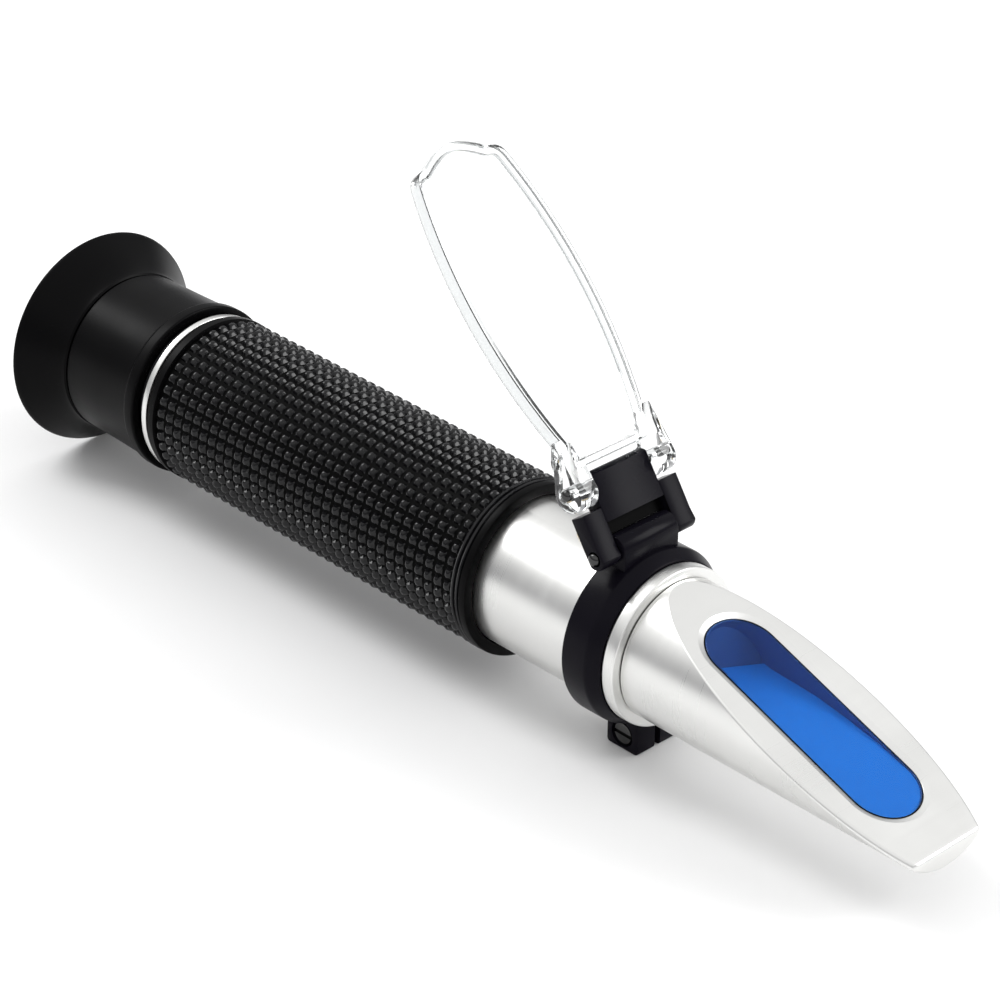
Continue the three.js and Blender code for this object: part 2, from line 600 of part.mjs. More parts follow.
place('objective_cell', objectiveCell(), LOOK.blackAluminium);
place('objective_lens', lens(8.9, 11.3, 7.1, 1.2), LOOK.opticalGlass);
place('objective_retainer', ring(11.9, 13.7, 6.1, 7.1), LOOK.blackAluminium);
place('calibration_screw', calibrationScrew(), LOOK.brass);
place('calibration_bush', calibrationBush(), LOOK.brass);
place('atc_bimetal_strip', bimetalStrip(), LOOK.bimetal);
place('atc_mounting_block', bimetalBlock(), LOOK.blackAluminium);
place('atc_mounting_screw_rear', bimetalScrew(CLAMP_SCREW_X[0]), LOOK.steel);
place('atc_mounting_screw_front', bimetalScrew(CLAMP_SCREW_X[1]), LOOK.steel);

[['light_baffle_front', -36], ['light_baffle_rear', -52]].forEach(([name, x]) => {
  place(name, ring(x, x + 1, 6.5, FITTED_R), LOOK.blackPlastic);
});
place('reticle_ring', reticleRing(), LOOK.blackAluminium);
place('reticle_disc', disc(-66.75, -65.2, 8), LOOK.opticalGlass);
place('reticle_retainer', ring(-64.9, -63.9, 7, 8), LOOK.blackAluminium);

place('focus_sleeve', focusSleeve(), LOOK.satinAluminium);
place('focus_o_ring', oRing(-82.1, 8.9, 0.35), LOOK.blackRubber);
place('lens_cell', lensCell(), LOOK.blackAluminium);
place('eye_lens', lens(-93.3, -91.9, 6.3, 0.8), LOOK.opticalGlass);
place('lens_spacer', ring(-91.5, -88, 5.5, 6.3), LOOK.blackAluminium);
place('field_lens', lens(-87.5, -86.2, 6.3, 0.7), LOOK.opticalGlass);
place('ocular_retainer', ring(-85.7, -84.1, 5.4, 6.3), LOOK.blackAluminium);
place('eyepiece_barrel', eyepieceBarrel(), LOOK.blackAluminium);
place('eyecup_sleeve', eyecupSleeve(), LOOK.blackRubber);
place('rubber_eyecup', rubberEyecup(), LOOK.blackRubber);

export default refractometer;
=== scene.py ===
"""Handheld refractometer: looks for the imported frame, in metres, in the frame's own axes.

Shapes are written in millimetres in the axis frame: x runs along the optical axis from the grip's
front edge towards the prism, and z = 0 is on the axis. axis_point() turns them into the row frame.
"""
import json
import math

import bmesh
import bpy
from mathutils import Matrix, Vector


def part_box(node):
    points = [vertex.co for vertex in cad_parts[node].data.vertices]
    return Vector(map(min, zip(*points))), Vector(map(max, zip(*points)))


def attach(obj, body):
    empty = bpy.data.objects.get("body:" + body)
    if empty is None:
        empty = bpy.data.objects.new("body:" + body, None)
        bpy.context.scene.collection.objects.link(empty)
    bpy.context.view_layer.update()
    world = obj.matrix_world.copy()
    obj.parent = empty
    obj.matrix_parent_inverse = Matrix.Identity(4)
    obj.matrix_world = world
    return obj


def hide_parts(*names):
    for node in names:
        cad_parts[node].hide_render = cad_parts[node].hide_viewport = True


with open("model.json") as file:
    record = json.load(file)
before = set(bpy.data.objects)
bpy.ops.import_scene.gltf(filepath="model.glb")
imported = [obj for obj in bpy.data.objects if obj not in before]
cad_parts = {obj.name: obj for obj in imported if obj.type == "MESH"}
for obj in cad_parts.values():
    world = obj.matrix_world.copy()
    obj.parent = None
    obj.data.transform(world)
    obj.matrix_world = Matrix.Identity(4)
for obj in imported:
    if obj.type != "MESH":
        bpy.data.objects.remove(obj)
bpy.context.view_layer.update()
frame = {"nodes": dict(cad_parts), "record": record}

MM = 0.001
ROUND = 144
SMALL_ROUND = 40
TAU = 2 * math.pi
THROUGH = 20            # how far a cutting tool runs past the piece on each side

GRIP_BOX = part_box("rubber_grip")
TUBE_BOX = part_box("body_tube")
AXIS_ORIGIN = Vector((GRIP_BOX[1][0], 0, (TUBE_BOX[0][2] + TUBE_BOX[1][2]) / 2))
JOINTS = {joint["name"]: joint for joint in frame["record"]["behaviour"]["joints"]}


def axis_point(x, y, z):
    """A point of the axis frame, in millimetres, as a point of the row frame, in metres."""
    return AXIS_ORIGIN + Vector((x, y, z)) * MM


def in_axis_frame(point):
    return (Vector(point) - AXIS_ORIGIN) / MM


# ---- materials ----
def shader(name, **sockets):
    """A material, its node tree and its principled shader, with the sockets set."""
    material = bpy.data.materials.new(name)
    material.use_nodes = True
    tree = material.node_tree
    principled = tree.nodes["Principled BSDF"]
    for socket, value in sockets.items():
        principled.inputs[socket.replace("_", " ")].default_value = value
    return material, tree, principled


def add_node(tree, kind, links=(), **settings):
    """Adds a node, sets its sockets or properties by name and links sources to its sockets."""
    node = tree.nodes.new(kind)
    for key, value in settings.items():
        if key in node.inputs:
            node.inputs[key].default_value = value
        else:
            setattr(node, key, value)
    for socket, source in dict(links).items():
        tree.links.new(source, node.inputs[socket])
    return node


def noise(tree, scale, stretch=(1, 1, 1), detail=3.0, rough=0.55):
    """Noise in the piece's own space, in metres, finer along an axis with a larger stretch."""
    place = add_node(tree, "ShaderNodeTexCoord").outputs["Object"]
    mapping = add_node(tree, "ShaderNodeMapping", {"Vector": place}, Scale=stretch)
    return add_node(tree, "ShaderNodeTexNoise", {"Vector": mapping.outputs["Vector"]},
                    Scale=scale, Detail=detail, Roughness=rough).outputs["Fac"]


def spread(tree, value, low, high, start=0.3, end=0.7):
    """Maps a value's range from start to end onto low to high."""
    node = add_node(tree, "ShaderNodeMapRange", {"Value": value})
    node.inputs["From Min"].default_value = start
    node.inputs["From Max"].default_value = end
    node.inputs["To Min"].default_value = low
    node.inputs["To Max"].default_value = high
    return node.outputs["Result"]


def blend_colours(tree, factor, dark, light):
    mix = add_node(tree, "ShaderNodeMix", {0: factor}, data_type="RGBA")
    mix.inputs[6].default_value = (*dark, 1)
    mix.inputs[7].default_value = (*light, 1)
    return mix.outputs[2]


def add_bump(tree, principled, *layers):
    """layers are (height, strength, distance in metres), each laid over the one before."""
    normal = None
    for height, strength, distance in layers:
        links = {"Height": height}
        if normal:
            links["Normal"] = normal
        normal = add_node(tree, "ShaderNodeBump", links, Strength=strength, Distance=distance)
        normal = normal.outputs["Normal"]
    tree.links.new(normal, principled.inputs["Normal"])


def turned_metal(name, dark, light, rough, lines=0.25, grain=0.1):
    """Metal with fine turning lines around the optical axis and a faint blasted grain."""
    material, tree, principled = shader(name, Metallic=1.0)
    around = noise(tree, 1.0, (5200, 55, 55), 4.0)
    blasted = noise(tree, 4200, detail=2.0)
    cloud = noise(tree, 70, detail=4.0)
    tree.links.new(blend_colours(tree, cloud, dark, light), principled.inputs["Base Color"])
    mixed = add_node(tree, "ShaderNodeMath", {0: around, 1: cloud}, operation="MULTIPLY")
    tree.links.new(spread(tree, mixed.outputs[0], rough - 0.05, rough + 0.07, 0.1, 0.45),
                   principled.inputs["Roughness"])
    add_bump(tree, principled, (around, lines, 0.00001), (blasted, grain, 0.00001))
    return material


def moulded(name, dark, light, rough, grain_scale, grain, **sockets):
    """Rubber or plastic with a fine moulded grain and slightly uneven gloss."""
    material, tree, principled = shader(name, **sockets)
    cloud = noise(tree, 45, detail=5.0)
    skin = noise(tree, grain_scale, detail=2.0)
    tree.links.new(blend_colours(tree, cloud, dark, light), principled.inputs["Base Color"])
    tree.links.new(spread(tree, cloud, rough - 0.05, rough + 0.08), principled.inputs["Roughness"])
    add_bump(tree, principled, (skin, grain, 0.00002), (cloud, 0.1, 0.0001))
    return material


def clear(name, colour, ior, wave=0.03, rough=(0.01, 0.05)):
    """Clear glass or acrylic with a faint surface wave and handling haze."""
    material, tree, principled = shader(name, IOR=ior, Transmission_Weight=1.0)
    principled.inputs["Base Color"].default_value = (*colour, 1)
    ripple = noise(tree, 120, detail=1.0)
    haze = noise(tree, 900, detail=4.0)
    tree.links.new(spread(tree, haze, *rough, 0.4, 0.75), principled.inputs["Roughness"])
    add_bump(tree, principled, (ripple, wave, 0.0002))
    return material


LOOK = {
    "satin_aluminium": turned_metal("satin_aluminium", (0.73, 0.73, 0.715), (0.81, 0.81, 0.795),
                                    0.31),
    "black_aluminium": turned_metal("black_aluminium", (0.02, 0.02, 0.022), (0.03, 0.03, 0.034),
                                    0.42),
    "black_rubber": moulded("black_rubber", (0.001, 0.001, 0.0012), (0.0025, 0.0023, 0.0026), 0.36,
                            2600, 0.2, Specular_IOR_Level=0.06),
    "black_plastic": moulded("black_plastic", (0.0034, 0.003, 0.0052), (0.0064, 0.0056, 0.0092),
                             0.28, 3400, 0.15, Specular_IOR_Level=0.055),
    "clear_plastic": clear("clear_plastic", (0.97, 0.985, 0.985), 1.49),
    "prism_glass": clear("prism_glass", (0.6, 0.88, 1.0), 1.18, 0.0),
    "optical_glass": clear("optical_glass", (0.9, 0.97, 0.95), 1.52, 0.0),
    "brass": turned_metal("brass", (0.6, 0.45, 0.2), (0.72, 0.56, 0.27), 0.28),
    "steel": turned_metal("steel", (0.5, 0.5, 0.5), (0.6, 0.6, 0.6), 0.27),
    "bimetal": turned_metal("bimetal", (0.55, 0.4, 0.25), (0.66, 0.5, 0.33), 0.35),
}
# Frosted acrylic for the plate's rim walls: the roughness is the edges' own frosting, and the grey
# tint is painted shade for the dark lines along the rim.
SHADED_RIM_ACRYLIC = clear("shaded_rim_acrylic", (0.74, 0.76, 0.76), 1.49, 0.05, (0.12, 0.25))
GRIP_RUBBER = moulded("grip_rubber", (0.002, 0.002, 0.0026), (0.005, 0.005, 0.006), 0.17, 3000,
                      0.06, Specular_IOR_Level=0.32)
# Painted shade: a darker, duller black laid on the knurl's groove floors and in the link's recess,
# standing in for the shade that falls there.
PAINTED_SHADE_BLACK = moulded("painted_shade_black", (0.001, 0.001, 0.001), (0.002, 0.002, 0.002), 0.6, 2600,
                       0.3, Specular_IOR_Level=0.04)
BLACK_STEEL = turned_metal("black_steel", (0.05, 0.05, 0.05), (0.09, 0.09, 0.09), 0.18)
AZURE = moulded("azure_coating", (0.002, 0.165, 0.6), (0.005, 0.2, 0.68), 0.45, 1800, 0.05)
# Painted shade: a darker navy copy of the prism's blue, for the well's walls and rear face,
# standing in for the shade at the window's far side and rear end.
NAVY_SHADE = moulded("navy_painted_shade", (0.03, 0.065, 0.25), (0.045, 0.09, 0.33), 0.5, 1800, 0.05)


# ---- mesh helpers ----
def finished(name, mesh_maker, material, sharp_angle=32):
    """Makes an object from a bmesh, in axis-frame millimetres until shown() takes it to metres."""
    bmesh.ops.recalc_face_normals(mesh_maker, faces=mesh_maker.faces)
    mesh = bpy.data.meshes.new(name)
    mesh_maker.to_mesh(mesh)
    mesh_maker.free()
    for surface in material if isinstance(material, list) else [material]:
        mesh.materials.append(surface)
    piece = bpy.data.objects.new(name, mesh)
    bpy.context.collection.objects.link(piece)
    smooth(piece, sharp_angle)
    return piece


def smooth(piece, sharp_angle=32):
    piece.data.shade_smooth()
    piece.data.set_sharp_from_angle(angle=math.radians(sharp_angle))


def boolean(piece, operation, *tools, sharp_angle=32):
    """Joins, cuts or intersects the piece with each tool in turn, and removes the tools."""
    for tool in tools:
        modifier = piece.modifiers.new("boolean", "BOOLEAN")
        modifier.operation = operation
        modifier.solver = "EXACT"
        modifier.object = tool
    graph = bpy.context.evaluated_depsgraph_get()
    mesh = bpy.data.meshes.new_from_object(piece.evaluated_get(graph))
    piece.modifiers.clear()
    piece.data = mesh
    smooth(piece, sharp_angle)
    for tool in tools:
        bpy.data.objects.remove(tool)
    return piece


def two_tone(piece, main, second, is_second):
    """Gives the faces that is_second picks the second material, and all others the main one."""
    piece.data.materials.clear()
    piece.data.materials.append(main)
    piece.data.materials.append(second)
    for face in piece.data.polygons:
        face.material_index = 1 if is_second(face) else 0


def softened(points, radius, is_closed=True, steps=4):
    """The outline with each corner turned into a small curve, at most radius from the corner."""
    count = len(points)
    result = []
    for i, corner in enumerate(points):
        here = Vector(corner)
        if not is_closed and i in (0, count - 1):
            result.append(tuple(here))
            continue
        before = Vector(points[i - 1]) - here
        after = Vector(points[(i + 1) % count]) - here
        reach = min(radius, before.length * 0.45, after.length * 0.45)
        start = here + before.normalized() * reach
        end = here + after.normalized() * reach
        for step in range(steps + 1):
            t = step / steps
            result.append(tuple(start.lerp(here, t).lerp(here.lerp(end, t), t)))
    return result


def lathe(name, profile, material, segments=ROUND, sharp_angle=32):
    """Turns [x, radius] pairs about the axis. A profile off the axis is closed on itself."""
    maker = bmesh.new()
    on_axis = profile[0][1] == 0 and profile[-1][1] == 0
    rings = []
    for x, radius in profile:
        if radius == 0:
            rings.append([maker.verts.new((x, 0, 0))])
            continue
        turn = [TAU * i / segments for i in range(segments)]
        rings.append([maker.verts.new((x, radius * math.cos(a), radius * math.sin(a)))
                      for a in turn])
    pairs = list(zip(rings, rings[1:]))
    if not on_axis:
        pairs.append((rings[-1], rings[0]))
    for low, high in pairs:
        for i in range(segments):
            j = (i + 1) % segments
            corners = [low[i % len(low)], low[j % len(low)],
                       high[j % len(high)], high[i % len(high)]]
            face = list(dict.fromkeys(corners))
            if len(face) > 2:
                maker.faces.new(face)
    return finished(name, maker, material, sharp_angle)


def stack(name, loops, material, sharp_angle=32):
    """Joins equal loops of points into a closed solid with a flat face at each end."""
    maker = bmesh.new()
    rings = [[maker.verts.new(point) for point in loop] for loop in loops]
    for low, high in zip(rings, rings[1:]):
        for i in range(len(low)):
            j = (i + 1) % len(low)
            maker.faces.new((low[i], low[j], high[j], high[i]))
    maker.faces.new(rings[0])
    maker.faces.new(rings[-1])
    bmesh.ops.remove_doubles(maker, verts=maker.verts, dist=0.0005)
    return finished(name, maker, material, sharp_angle)


def slab(name, outline, y_low, y_high, material, edge=0.25):
    """An outline in x and z, as thick as y_low to y_high, with rounded rims."""
    levels = [(y_low, edge), (y_low + edge * 0.3, edge * 0.3), (y_low + edge, 0),
              (y_high - edge, 0), (y_high - edge * 0.3, edge * 0.3), (y_high, edge)]
    loops = [[(x, y, z) for x, z in inset_loop(outline, amount)] for y, amount in levels]
    return stack(name, loops, material)


def inset_loop(outline, amount):
    """Moves each point of a closed 2-D outline inwards along its corner's bisector."""
    if amount == 0:
        return list(outline)
    count = len(outline)
    area = sum(here[0] * after[1] - after[0] * here[1]
               for here, after in zip(outline, outline[1:] + outline[:1]))
    side = 1 if area > 0 else -1
    result = []
    for i in range(count):
        here = Vector(outline[i])
        before = (here - Vector(outline[i - 1])).normalized()
        after = (Vector(outline[(i + 1) % count]) - here).normalized()
        inward = Vector((-(before + after).y, (before + after).x)).normalized() * side
        stretch = max(0.5, math.sqrt((1 + before.dot(after)) / 2))
        result.append(tuple(here + inward * (amount / stretch)))
    return result


def arc(centre, radius, start, end, steps):
    """Points on an arc from start to end degrees."""
    angles = [math.radians(start + (end - start) * i / steps) for i in range(steps + 1)]
    return [(centre[0] + radius * math.cos(a), centre[1] + radius * math.sin(a)) for a in angles]


def quarter_turn(steps):
    """Evenly spaced angles from 0 to a right angle."""
    return [math.pi / 2 * i / steps for i in range(steps + 1)]


def bar(name, x, z, radius, y_low, y_high, material, edge=0.12, segments=SMALL_ROUND):
    """A round or many-sided bar along y, with rounded rims."""
    return slab(name, arc((x, z), radius, 0, 360 - 360 / segments, segments - 1),
                y_low, y_high, material, edge)


def bore(pin, radius):
    """A bar along y at a pin's place, long enough to cut through any piece."""
    return bar("bore", pin.x, pin.z, radius, -THROUGH, THROUGH, None)


def block(name, low, high):
    """A plain box between two opposite corners, to cut with."""
    loops = [[(x, low[1], low[2]), (x, high[1], low[2]),
              (x, high[1], high[2]), (x, low[1], high[2])]
             for x in (low[0], high[0])]
    return stack(name, loops, None)


def rod(name, x_low, x_high, radius, segments=ROUND):
    """A plain cylinder about the axis, to cut or join with."""
    return lathe(name, [(x_low, 0), (x_low, radius), (x_high, radius), (x_high, 0)], None, segments)


def upright(piece, x):
    """Stands a lathe piece on end, so that its x becomes height above the axis at x."""
    piece.data.transform(Matrix.Translation((x, 0, 0)) @ Matrix.Rotation(-math.pi / 2, 4, "Y"))
    return piece


def shown(piece, body, slot, *nodes):
    """Takes a finished piece from axis-frame millimetres to the row frame and its body."""
    piece.data.transform(Matrix.Translation(AXIS_ORIGIN) @ Matrix.Scale(MM, 4))
    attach(piece, body)
    if nodes:
        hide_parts(*nodes)
    return piece


# ---- tube, bezel and grip ----
TUBE_R = 12.45
TUBE_BORE = 9.5
TUBE_REAR = -78.9
TUBE_FRONT = 30.3
STEP_RING_R = 12.95     # the raised ring at the tube's front end
STEP_RING_REAR = 28.1
TUBE_CLEAR_R = 12.75    # bore of the rings that sit on the tube
BEZEL_R = 14.15
BEZEL_FRONT = -77.7
CALIBRATION_X = 13
CALIBRATION_HOLE_R = 2.2


def make_tube():
    profile = [(TUBE_REAR, TUBE_BORE), (TUBE_REAR, TUBE_R), (STEP_RING_REAR, TUBE_R),
               (STEP_RING_REAR, STEP_RING_R), (TUBE_FRONT, STEP_RING_R), (TUBE_FRONT, TUBE_BORE)]
    tube = lathe("tube_shell", softened(profile, 0.28), LOOK["satin_aluminium"])
    hole = rod("hole", 7, 15, CALIBRATION_HOLE_R, SMALL_ROUND)
    boolean(tube, "DIFFERENCE", upright(hole, CALIBRATION_X))
    shown(tube, "instrument", "satin_aluminium", "body_tube")
    bezel = [(TUBE_REAR, TUBE_CLEAR_R), (TUBE_REAR, BEZEL_R), (BEZEL_FRONT, BEZEL_R),
             (BEZEL_FRONT, TUBE_CLEAR_R)]
    shown(lathe("bezel", softened(bezel, 0.22), LOOK["satin_aluminium"]), "instrument",
          "satin_aluminium", "rear_bezel_ring")


GRIP_R = 14.5
GRIP_BORE = 12.7
GRIP_REAR = -77.4
KNURL_COLUMNS = 42
KNURL_ROWS = 33
KNURL_DEPTH = 0.75
KNURL_LOW = -75.2      # the knurled stretch along the grip
KNURL_HIGH = -3.3
# how far through a cell, and how high as a share of the depth
ALONG_STUD = [(0, 0), (0.15, 0), (0.27, 0.6), (0.37, 0.9), (0.5, 1), (0.63, 0.9), (0.73, 0.6),
              (0.85, 0), (1, 0)]
AROUND_STUD = [(0, 0), (0.11, 0), (0.21, 0.72), (0.33, 0.94), (0.5, 1), (0.67, 0.94), (0.79, 0.72),
               (0.89, 0)]


def make_grip():
    """Square crowned studs in rows around and along the grip, between smooth grooved bands."""
    floor_r = GRIP_R - KNURL_DEPTH
    cell_x = (KNURL_HIGH - KNURL_LOW) / KNURL_ROWS
    stations = [(GRIP_REAR + 0.1, GRIP_R - 0.5, 0), (GRIP_REAR + 0.55, GRIP_R - 0.05, 0),
                (GRIP_REAR + 1.3, GRIP_R, 0), (KNURL_LOW - 0.25, GRIP_R, 0),
                (KNURL_LOW, floor_r, 0)]
    for row in range(KNURL_ROWS):
        stations += [(KNURL_LOW + cell_x * (row + part), floor_r, lift)
                     for part, lift in ALONG_STUD[1:]]
    x = KNURL_HIGH
    for ridge in range(2):
        stations += [(x + 0.2, GRIP_R - 0.1, 0), (x + 0.45, GRIP_R, 0), (x + 0.65, GRIP_R - 0.1, 0),
                     (x + 0.85, GRIP_R - 0.55, 0)]
        x += 0.95
    stations += [(x + 0.15, GRIP_R - 0.05, 0), (-0.45, GRIP_R - 0.05, 0), (-0.12, GRIP_R - 0.15, 0),
                 (0, GRIP_R - 0.45, 0), (0, GRIP_BORE, 0), (GRIP_REAR + 0.1, GRIP_BORE, 0)]
    turns = [(TAU * (column + part) / KNURL_COLUMNS, lift)
             for column in range(KNURL_COLUMNS) for part, lift in AROUND_STUD]
    maker = bmesh.new()
    rings = []
    for place, radius, lift in stations:
        ring = []
        for angle, side_lift in turns:
            r = radius + KNURL_DEPTH * lift * side_lift
            ring.append(maker.verts.new((place, r * math.cos(angle), r * math.sin(angle))))
        rings.append(ring)
    for low, high in zip(rings, rings[1:] + rings[:1]):
        for i in range(len(turns)):
            j = (i + 1) % len(turns)
            face = maker.faces.new((low[i], low[j], high[j], high[i]))
            radii = [math.hypot(vertex.co.y, vertex.co.z) for vertex in face.verts]
            knurled = KNURL_LOW - 0.1 < face.calc_center_median().x < KNURL_HIGH + 2
            if not knurled:
                face.material_index = 2
            # the groove floors between the studs take the painted shade black
            elif max(radii) < floor_r + 0.01:
                face.material_index = 1
    grip = finished("knurled_grip", maker, [GRIP_RUBBER, PAINTED_SHADE_BLACK, LOOK["black_rubber"]], 34)
    shown(grip, "instrument", "black_rubber", "rubber_grip")


# ---- prism head ----
HEAD_R = 11.4
HEAD_REAR = 30.42
HEAD_FRONT = 84.4
HEAD_EDGE = 0.6         # radius of the rounding along the slanted face
REAR_EDGE = 0.2         # and around the two ends
FRONT_EDGE = 0.45
SPIGOT_R = 9.2
SPIGOT_BORE = 7.4
SPIGOT_REAR = 23.1
CAVITY_R = 9            # the hollow under the window
CAVITY_REAR = 32.6
CAVITY_FRONT = 80.4
CAVITY_FLOOR = -8.8
ROOF_THICKNESS = 2.2
SLOPE = math.radians(20)
FACE_POINT = Vector((60, 0, 0.8))       # a point on the slanted face
ALONG = Vector((math.cos(SLOPE), 0, -math.sin(SLOPE)))
OUT = Vector((math.sin(SLOPE), 0, math.cos(SLOPE)))
WINDOW_REAR = -16.5     # the centres of the window's round ends, along the face
WINDOW_FRONT = 12.7
WINDOW_HALF_WIDTH = 6.1


def on_face(along, across, out):
    """A point placed from FACE_POINT down the slope, across it and out of it."""
    return tuple(FACE_POINT + ALONG * along + Vector((0, across, 0)) + OUT * out)


def stadium(half_width, out, steps=28):
    front = arc((WINDOW_FRONT, 0), half_width, -90, 90, steps)
    rear = arc((WINDOW_REAR, 0), half_width, 90, 270, steps)
    return [on_face(along, across, out) for along, across in front + rear]


def stadium_solid(name, levels, material=None):
    """levels are (distance out of the face, half-width)."""
    return stack(name, [stadium(half_width, out) for out, half_width in levels], material)


def head_section(x, inset=0):
    """The head's outline at x: a circle cut by the slanted face, rounded where the two meet."""
    radius = HEAD_R - inset
    top = FACE_POINT.z - (x - FACE_POINT.x) * math.tan(SLOPE) - inset
    edge = HEAD_EDGE
    flat = math.sqrt(max(0, (radius - edge) ** 2 - (min(top, radius) - edge) ** 2))
    top = min(top, radius)
    meet = math.degrees(math.atan2(top - edge, flat)) if flat else 90
    points = [(-flat + 2 * flat * i / 16, top) for i in range(17)]
    points += arc((flat, top - edge), edge, 90, meet, 16)[1:]
    points += arc((0, 0), radius, meet, -180 - meet, 120)[1:]
    points += arc((-flat, top - edge), edge, 180 - meet, 90, 16)[1:-1]
    return [(x, y, z) for y, z in points]


def make_housing():
    round_rear = [(HEAD_REAR + REAR_EDGE * (1 - math.sin(t)), REAR_EDGE * (1 - math.cos(t)))
                  for t in reversed(quarter_turn(5))]
    round_front = [(HEAD_FRONT - FRONT_EDGE * (1 - math.sin(t)), FRONT_EDGE * (1 - math.cos(t)))
                   for t in quarter_turn(10)]
    # close stations where the slanted face leaves the round body, and wider ones after it
    middle = [HEAD_REAR + 0.6 + i * 0.2 for i in range(40)]
    start, end, steps = middle[-1], HEAD_FRONT - 1, 70
    middle += [start + (end - start) * i / steps for i in range(1, steps + 1)]
    stations = round_rear + [(x, 0) for x in middle] + round_front
    body = stack("head_shell", [head_section(*station) for station in stations],
                 LOOK["satin_aluminium"], 10)
    opening = stadium_solid("opening", [
        (-30, WINDOW_HALF_WIDTH), (-0.42, WINDOW_HALF_WIDTH),
        (-0.35, WINDOW_HALF_WIDTH + 0.07), (0.35, WINDOW_HALF_WIDTH + 1.9)])
    boolean(opening, "INTERSECT",
            block("above_floor", (25, -12, CAVITY_FLOOR), (CAVITY_FRONT, 12, 20)))
    roof = stack("roof", [[on_face(along, across, out)
                           for along, across in [(-60, -20), (60, -20), (60, 20), (-60, 20)]]
                          for out in (-ROOF_THICKNESS, 20)], None)
    room = boolean(rod("inside", CAVITY_REAR, CAVITY_FRONT, CAVITY_R), "DIFFERENCE", roof)
    rear_bore = rod("rear_bore", SPIGOT_REAR - 3, CAVITY_REAR + 1.4, SPIGOT_BORE)
    spigot = rod("spigot", SPIGOT_REAR, HEAD_REAR + 1.08, SPIGOT_R)
    boolean(body, "UNION", spigot, sharp_angle=10)
    boolean(body, "DIFFERENCE", room, opening, rear_bore, sharp_angle=10)
    shown(body, "instrument", "satin_aluminium", "prism_housing")


WELL_HALF_WIDTH = 5.9
WELL_WALL = 0.15
COVER_DEPTH = 0.6
GASKET_HALF_WIDTH = 6.08
# the prism's lower faces, as (along, out): a curved floor, coloured azure, and a rear face, which
# runs aslant across the window and is coloured navy as painted shade
WELL_FLOOR = [(-14.2, -5.6), (-11.3, -4.75), (-9.3, -4.1), (-5.3, -2.95), (0.8, -1.8), (6.8, -1.0),
              (13, -0.7), (20, -0.7)]
WELL_REAR = (-18.4, -6.9)
WELL_REAR_SLANT = 0.46


def make_prism():
    cover = stadium_solid("prism_cover", [(-COVER_DEPTH, WELL_HALF_WIDTH), (-0.3, WELL_HALF_WIDTH),
                                          (-0.22, WELL_HALF_WIDTH - 0.1)], LOOK["prism_glass"])
    shown(cover, "instrument", "prism_glass", "main_prism")
    seal = stadium_solid("gasket", [(-1.8, GASKET_HALF_WIDTH), (-0.4, GASKET_HALF_WIDTH),
                                    (-0.3, GASKET_HALF_WIDTH - 0.06)], LOOK["black_rubber"])
    core = stadium_solid("core", [(-3, WELL_HALF_WIDTH + 0.03), (1, WELL_HALF_WIDTH + 0.03)])
    shown(boolean(seal, "DIFFERENCE", core), "instrument", "black_rubber", "prism_gasket")

    tub = stadium_solid("prism_well", [(-14, WELL_HALF_WIDTH),
                                       (-COVER_DEPTH - 0.01, WELL_HALF_WIDTH)], NAVY_SHADE)
    boolean(tub, "INTERSECT", rod("inside", CAVITY_REAR + 0.4, CAVITY_FRONT - 0.2, CAVITY_R - 0.1))
    hollow = stadium_solid("hollow", [(-14, WELL_HALF_WIDTH - WELL_WALL),
                                      (1, WELL_HALF_WIDTH - WELL_WALL)])
    sides = []
    for across in (-9, 9):
        rear = (WELL_REAR[0] + WELL_REAR_SLANT * across, WELL_REAR[1])
        outline = [(-23.5, 3), (-23.5, -0.7), rear] + WELL_FLOOR + [(20, 3)]
        sides.append([on_face(along, across, out) for along, out in outline])
    boolean(hollow, "INTERSECT", stack("above", sides, None))
    boolean(tub, "DIFFERENCE", hollow)

    def is_floor(face):
        place = face.center - FACE_POINT
        before_rear = place.dot(ALONG) > WELL_REAR[0] + WELL_REAR_SLANT * place.y
        return face.normal.dot(OUT) > 0.8 and before_rear and place.dot(OUT) < -COVER_DEPTH - 0.05
    # the floor takes the azure; the walls and the slanted rear face take the navy painted shade
    two_tone(tub, NAVY_SHADE, AZURE, is_floor)
    shown(tub, "instrument", "prism_glass", "prism_bed")


# ---- eyecup and eyepiece ----
BARREL_R = 13
BARREL_FRONT = -80.2
BARREL_REAR = -98
FLARE_STEPS = 22
LENS_X = -92.6          # the eye lens is a thin disc with two bulging faces
LENS_R = 6.3
LENS_HALF_EDGE = 0.7
LENS_BULGE = 0.8


def flare(x, reach, radius, growth, power):
    """The flare's profile from its root at x, widening faster towards the lip."""
    shares = [i / FLARE_STEPS for i in range(FLARE_STEPS + 1)]
    return [(x - reach * share, radius + growth * share ** power) for share in shares]


